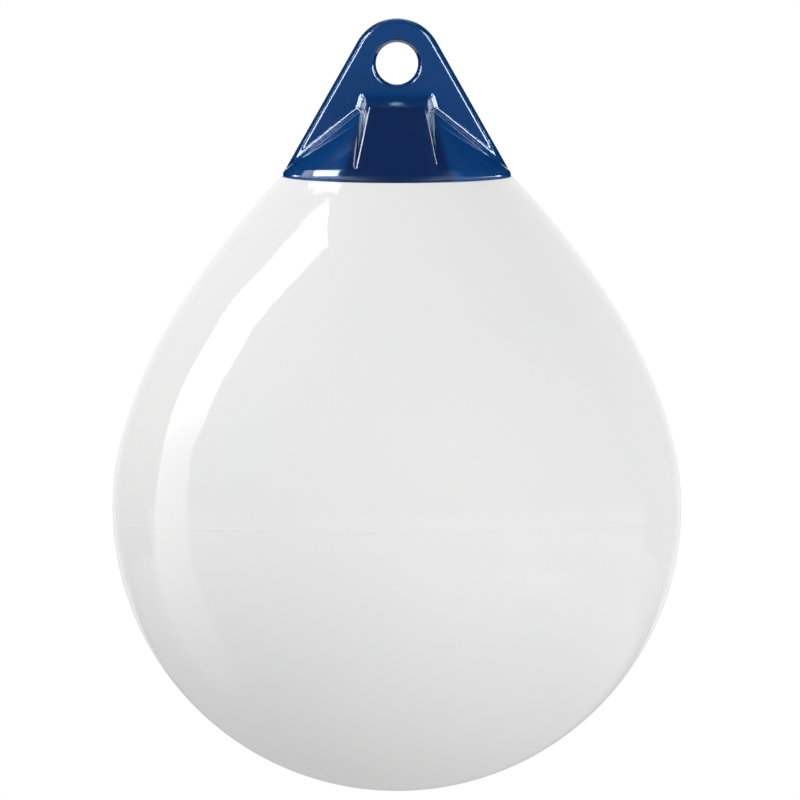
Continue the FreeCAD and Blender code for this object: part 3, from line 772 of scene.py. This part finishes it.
ball = make_ball()
cap = make_cap()
for node_name, finish in (("valve_body", valve_plastic), ("valve_flap", valve_rubber),
                          ("valve_plug", plug_plastic), ("plug_seal", valve_rubber)):
    dress_node(node_name, finish)


# Studio

BALL_CENTRE = Vector((0, 0, -0.219))
CAP_CENTRE = Vector((0, 0, -0.035))
FLOOR_HEIGHT = -0.73
CAMERA_DISTANCE = 5.0
CAMERA_HEIGHT = -0.06
CAMERA_ASIDE = 0.0015
AIM_HEIGHT = -0.1658
FRAME_WIDTH = 0.3941


def aim(thing, target):
    """Turn a lamp or the camera, both of which look along their own -Z, at a point."""
    direction = Vector(target) - thing.location
    thing.rotation_euler = direction.to_track_quat("-Z", "Y").to_euler()


def make_camera():
    """The photograph's camera: far off, a little above the middle, with a long lens."""
    lens = bpy.data.cameras.new("photo_camera")
    camera = link_object("photo_camera", lens)
    lens.sensor_width = 36
    lens.lens = lens.sensor_width * CAMERA_DISTANCE / FRAME_WIDTH
    lens.clip_start = 0.1
    lens.clip_end = 100
    camera.location = (CAMERA_ASIDE, -CAMERA_DISTANCE, CAMERA_HEIGHT)
    aim(camera, (CAMERA_ASIDE, 0, AIM_HEIGHT))
    bpy.context.scene.camera = camera


def towards(azimuth, elevation):
    """Direction by azimuth, from the camera's side and positive to its right, and by
    elevation."""
    return Vector((sin(azimuth) * cos(elevation), -cos(azimuth) * cos(elevation), sin(elevation)))


def make_softbox(name, rows, receivers=()):
    """A light screen that only reflections see. Each row is a spot on the ball, a distance
    from it, and points across the screen: the azimuth and elevation in which they are seen
    from that spot, and how brightly they glow. Without receivers every piece mirrors it."""
    corners, levels = [], []
    for spot, distance, points in rows:
        for azimuth, elevation, level in points:
            corners.append(Vector(spot) + distance * towards(azimuth, elevation))
            levels.append(level)
    across = len(rows[0][2])
    faces = [(n, n + 1, n + 1 + across, n + across)
             for row in range(len(rows) - 1) for n in range(row * across, (row + 1) * across - 1)]
    mesh = bpy.data.meshes.new(name)
    mesh.from_pydata(corners, [], faces)
    mesh.attributes.new("glow", "FLOAT", "POINT").data.foreach_set("value", levels)
    material = bpy.data.materials.new(name)
    material.use_nodes = True
    tree = material.node_tree
    tree.nodes.clear()
    out = tree.nodes.new("ShaderNodeOutputMaterial")
    strength = add_node(tree, "ShaderNodeAttribute", attribute_name="glow").outputs["Fac"]
    lit = add_node(tree, "ShaderNodeEmission", {"Strength": strength}).outputs[0]
    tree.links.new(lit, out.inputs["Surface"])
    mesh.materials.append(material)
    softbox = link_object(name, mesh)
    softbox.visible_camera = False
    softbox.visible_diffuse = False
    softbox.visible_shadow = False
    if receivers:
        keep_light_to(softbox, receivers)


def make_panel(name, centre, azimuth, elevation, distance, size, strength):
    """A soft rectangular lamp that faces a centre from a direction."""
    data = bpy.data.lights.new(name, "AREA")
    data.shape = "RECTANGLE"
    data.size, data.size_y = size
    data.energy = strength * math.pi * data.size * data.size_y
    lamp = link_object(name, data)
    lamp.location = centre + distance * towards(azimuth, elevation)
    aim(lamp, centre)
    lamp.visible_camera = False
    return lamp


def keep_light_to(lamp, pieces):
    """Let a lamp light these pieces alone."""
    lit = bpy.data.collections.new("lit_by_" + lamp.name)
    for piece in pieces:
        lit.objects.link(piece)
    lamp.light_linking.receiver_collection = lit


def make_left_softbox(ball):
    """The tall softbox at the left that the ball mirrors, from its faint foot up to its
    slanted top. A row has its spot and distance, the directions of its left and right
    edges, its glow, and over how many degrees its left edge fades. The lowest rows are
    near, so that they stay above the floor."""
    faded_glow = 0.56
    rows = [
        ((-0.070, -0.065, -0.314), 0.50, (-126, -47), (-119, -52), 0.6, 14),
        ((-0.077, -0.070, -0.304), 0.55, (-125, -40), (-112, -47.5), 0.76, 15),
        ((-0.085, -0.075, -0.294), 0.62, (-122, -36), (-106, -42.5), 0.88, 18),
        ((-0.094, -0.079, -0.279), 0.75, (-119, -29), (-99, -35), 1.0, 20),
        ((-0.102, -0.083, -0.264), 1.00, (-117, -21), (-96.5, -27), 1.1, 18),
        ((-0.107, -0.083, -0.250), 1.50, (-117, -14), (-95, -17.5), 1.22, 8),
        ((-0.111, -0.083, -0.235), 2.20, (-116, -8), (-94, -9), 1.35, 2),
        ((-0.112, -0.084, -0.220), 2.50, (-115.5, -1.5), (-94, -1.5), 1.4, 0.5),
        ((-0.110, -0.086, -0.205), 2.50, (-115, 5), (-94, 7), 1.5, 0.1),
        ((-0.107, -0.088, -0.190), 2.50, (-115.5, 11.5), (-96, 15), 1.85, 0.1),
        ((-0.103, -0.089, -0.175), 2.50, (-118, 17.5), (-95, 23), 2.7, 0.1),
        ((-0.098, -0.090, -0.161), 2.50, (-119, 21.5), (-95.5, 28.5), 4.5, 0.1),
        ((-0.090, -0.088, -0.146), 2.50, (-118, 26), (-94, 34.5), 8.0, 0.1),
        ((-0.081, -0.086, -0.131), 2.50, (-118.5, 30.5), (-95, 40.5), 14.0, 0.1),
        ((-0.071, -0.083, -0.117), 2.50, (-120, 35.5), (-94, 48), 18.0, 0.1),
        ((-0.060, -0.078, -0.102), 2.50, (-116, 41.5), (-91.5, 53), 20.0, 0.1),
        ((-0.048, -0.075, -0.094), 2.50, (-113, 46.5), (-88, 57.5), 20.0, 0.1),
        ((-0.044, -0.073, -0.090), 2.50, (-112, 48.5), (-86, 60.4), 20.0, 0.1),
        ((-0.040, -0.072, -0.087), 2.50, (-111.5, 50.5), (-82, 62.4), 20.0, 0.1),
        ((-0.038, -0.070, -0.083), 2.50, (-111, 52), (-87, 62.3), 20.0, 0.1),
        ((-0.037, -0.066, -0.078), 2.50, (-111, 54), (-94, 61.6), 20.0, 0.1),
        ((-0.036, -0.064, -0.074), 2.50, (-110.5, 55.5), (-100, 61.4), 20.0, 0.1),
        ((-0.036, -0.062, -0.070), 2.50, (-109.5, 58.2), (-105, 60.6), 20.0, 0.1),
    ]
    make_softbox("left_softbox", [
        (spot, distance, ((left[0] - fade, left[1], faded_glow), left + (glow,), right + (glow,)))
        for spot, distance, left, right, glow, fade in rows], [ball])


def make_corner_softbox():
    """The bright corner that the ball mirrors close under the cap's rim, row by row as the
    directions of its two sides."""
    spot, distance, glow = (-0.034, -0.054, -0.062), 2.5, 4
    sides = (
        ((-130, 45), (-137, 43)),
        ((-127, 48), (-138, 47)),
        ((-122.5, 50.7), (-137, 51.5)),
        ((-118, 54.3), (-136, 56)),
        ((-113.5, 57.7), (-132, 60)),
        ((-108.5, 61.2), (-122, 62.5)),
        ((-106, 62.6), (-110, 63.5)),
    )
    make_softbox("corner_softbox", [
        (spot, distance, (near + (glow,), far + (glow,))) for near, far in sides])


def make_back_screens(ball):
    """Pale screens at the back left and right, which the ball's rims mirror. They are dim
    towards the sides and above."""
    dim = 0.16
    columns = ((120, dim), (130, 0.28), (138, 0.4), (145, 0.5), (153, 0.58), (162, 0.82), (172, 0.95))
    heights = ((-10, 1), (0, 1), (20, 1), (35, 1), (50, 0))
    for name, side in (("back_left_screen", -1), ("back_right_screen", 1)):
        spot = (side * 0.13, -0.03, BALL_CENTRE.z)
        make_softbox(name, [
            (spot, 2.6, [(side * azimuth, elevation, dim + (glow - dim) * share)
                         for azimuth, glow in columns])
            for elevation, share in heights], [ball])


def make_world():
    """White behind the object for the camera. Reflections see a room that is dim in front,
    dimmer towards the back and overhead, and white straight behind the object. Soft light
    comes from all round, most of it from the left, the front and the back."""
    world = bpy.data.worlds.new("studio")
    bpy.context.scene.world = world
    world.use_nodes = True
    tree = world.node_tree
    tree.nodes.clear()
    out = tree.nodes.new("ShaderNodeOutputWorld")
    way = add_node(tree, "ShaderNodeTexCoord").outputs["Generated"]
    parts = add_node(tree, "ShaderNodeSeparateXYZ", {0: way}).outputs

    def ramp(value, stops):
        node = tree.nodes.new("ShaderNodeValToRGB")
        elements = node.color_ramp.elements
        while len(elements) > 1:
            elements.remove(elements[0])
        elements[0].position = stops[0][0]
        elements[0].color = (stops[0][1],) * 3 + (1,)
        for position, level in stops[1:]:
            elements.new(position).color = (level,) * 3 + (1,)
        tree.links.new(value, node.inputs[0])
        return node.outputs[0]

    # Levels from straight in front to straight behind, and from straight down to straight up
    back = calculate(tree, "MULTIPLY_ADD", parts[1], 0.5, 0.5)
    up = calculate(tree, "MULTIPLY_ADD", parts[2], 0.5, 0.5)
    room = ramp(back, [(0.0, 0.25), (0.3, 0.22), (0.5, 0.16), (0.8, 0.1), (0.985, 0.12), (0.992, 1.0)])
    ceiling = ramp(up, [(0.5, 1.0), (0.7, 0.7), (0.9, 0.25), (1.0, 0.15)])
    mirrored = calculate(tree, "MULTIPLY", room, ceiling)

    # Light from all round, and what each side adds: left, right, front, back and above
    soft = 0.26
    for axis, sign, strength in ((0, -1, 0.97), (0, 1, 0.1), (1, -1, 0.94), (1, 1, 1.2), (2, 1, 0.11)):
        facing = calculate(tree, "MAXIMUM", calculate(tree, "MULTIPLY", parts[axis], sign), 0.0)
        soft = calculate(tree, "MULTIPLY_ADD", facing, strength, soft)
    light = tree.nodes.new("ShaderNodeLightPath").outputs
    glossy = add_node(tree, "ShaderNodeMix", {
        "Factor": light["Is Glossy Ray"], "A": soft, "B": mirrored,
    }).outputs[0]
    through = calculate(tree, "MAXIMUM", light["Is Camera Ray"], light["Is Transmission Ray"])
    level = add_node(tree, "ShaderNodeMix", {"Factor": through, "A": glossy, "B": 1.0}).outputs[0]
    sky = add_node(tree, "ShaderNodeBackground", {"Color": (1, 1, 1, 1), "Strength": level})
    tree.links.new(sky.outputs[0], out.inputs[0])
    # Its strength goes by the kind of ray, so it isn't sampled as a lamp
    world.cycles.sampling_method = "NONE"


def make_floor():
    """A pale floor under the hanging ball. Near it the floor takes light and shadow, and
    further out the camera sees it go over into plain white."""
    mesh = bpy.data.meshes.new("studio_floor")
    reach, shade, seen_lift = 40, 0.545, 0.45
    mesh.from_pydata([(-reach, -reach, FLOOR_HEIGHT), (reach, -reach, FLOOR_HEIGHT),
                      (reach, reach, FLOOR_HEIGHT), (-reach, reach, FLOOR_HEIGHT)], [], [(0, 1, 2, 3)])
    floor = link_object("studio_floor", mesh)
    material = bpy.data.materials.new("studio_floor")
    material.use_nodes = True
    tree = material.node_tree
    tree.nodes.clear()
    out = tree.nodes.new("ShaderNodeOutputMaterial")
    place = add_node(tree, "ShaderNodeTexCoord").outputs["Object"]
    parts = add_node(tree, "ShaderNodeSeparateXYZ", {0: place}).outputs
    away = calculate(tree, "SQRT", calculate(
        tree, "ADD", *[calculate(tree, "MULTIPLY", part, part) for part in parts[:2]]))
    far = add_node(tree, "ShaderNodeMapRange", {
        "Value": away, "From Min": 0.7, "From Max": 2.2,
    }, interpolation_type="SMOOTHSTEP").outputs[0]
    light = tree.nodes.new("ShaderNodeLightPath").outputs
    lit = add_node(tree, "ShaderNodeBsdfDiffuse", {"Color": (shade, shade, shade, 1)}).outputs[0]
    lift = add_node(tree, "ShaderNodeEmission", {
        "Strength": calculate(tree, "MULTIPLY", light["Is Camera Ray"], seen_lift),
    }).outputs[0]
    near = add_node(tree, "ShaderNodeAddShader", {0: lit, 1: lift}).outputs[0]
    plain = add_node(tree, "ShaderNodeEmission", {"Strength": 1.0}).outputs[0]
    factor = calculate(tree, "MULTIPLY", far, light["Is Camera Ray"])
    mixed = add_node(tree, "ShaderNodeMixShader", {0: factor, 1: near, 2: plain}).outputs[0]
    tree.links.new(mixed, out.inputs["Surface"])
    mesh.materials.append(material)


def make_fills():
    """Two weak fill lamps from the right, which reflections don't see."""
    for name, *layout in (("right_low_fill", 60, -15, 1.4, (0.8, 0.3), 5.0),
                          ("back_right_fill", 130, 10, 1.5, (0.8, 0.8), 2.5)):
        fill = make_panel(name, BALL_CENTRE, *layout)
        fill.visible_glossy = False


def light_cap(cap):
    """Soft lamps that only the gloss of the cap and the valve shows. Those on both sides
    draw the bright lines on the cap's edges, those at the left alone make the patch in its
    lower band, and the small one behind it is mirrored round the rope eye."""
    panels = [
        ("left_band_panel", -92.5, 40, 1.5, (0.66, 0.3), 22),
        ("left_wing_panel", -116, 32.5, 1.5, (0.3, 0.2), 3.5),
        ("left_low_panel", -87, 2, 1.5, (0.6, 0.26), 6),
        ("eye_panel", 180, 26.3, 0.334, (0.08, 0.05), 1.2),
    ]
    for side, sign in (("left", -1), ("right", 1)):
        panels += [
            (side + "_front_panel", sign * 43, 18.5, 1.5, (0.9, 0.5), 24),
            (side + "_upper_panel", sign * 58, 41, 1.5, (0.75, 0.27), 24),
            (side + "_side_panel", sign * 98, 17, 1.5, (1.9, 0.5), 20),
        ]
    band_slant = math.radians(31.7)
    pale_blue = (0.42, 0.8, 1.0)
    lamps = {name: make_panel(name, CAP_CENTRE, *layout) for name, *layout in panels}
    lamps["left_band_panel"].rotation_euler.rotate_axis("Z", band_slant)
    lamps["eye_panel"].data.color = pale_blue
    receivers = [cap] + [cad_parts[name] for name in ("valve_body", "valve_plug")]
    for lamp in lamps.values():
        lamp.visible_diffuse = False
        keep_light_to(lamp, receivers)


make_camera()
make_world()
make_floor()
make_left_softbox(ball)
make_corner_softbox()
make_back_screens(ball)
make_fills()
light_cap(cap)

bpy.context.scene.view_settings.view_transform = "Standard"
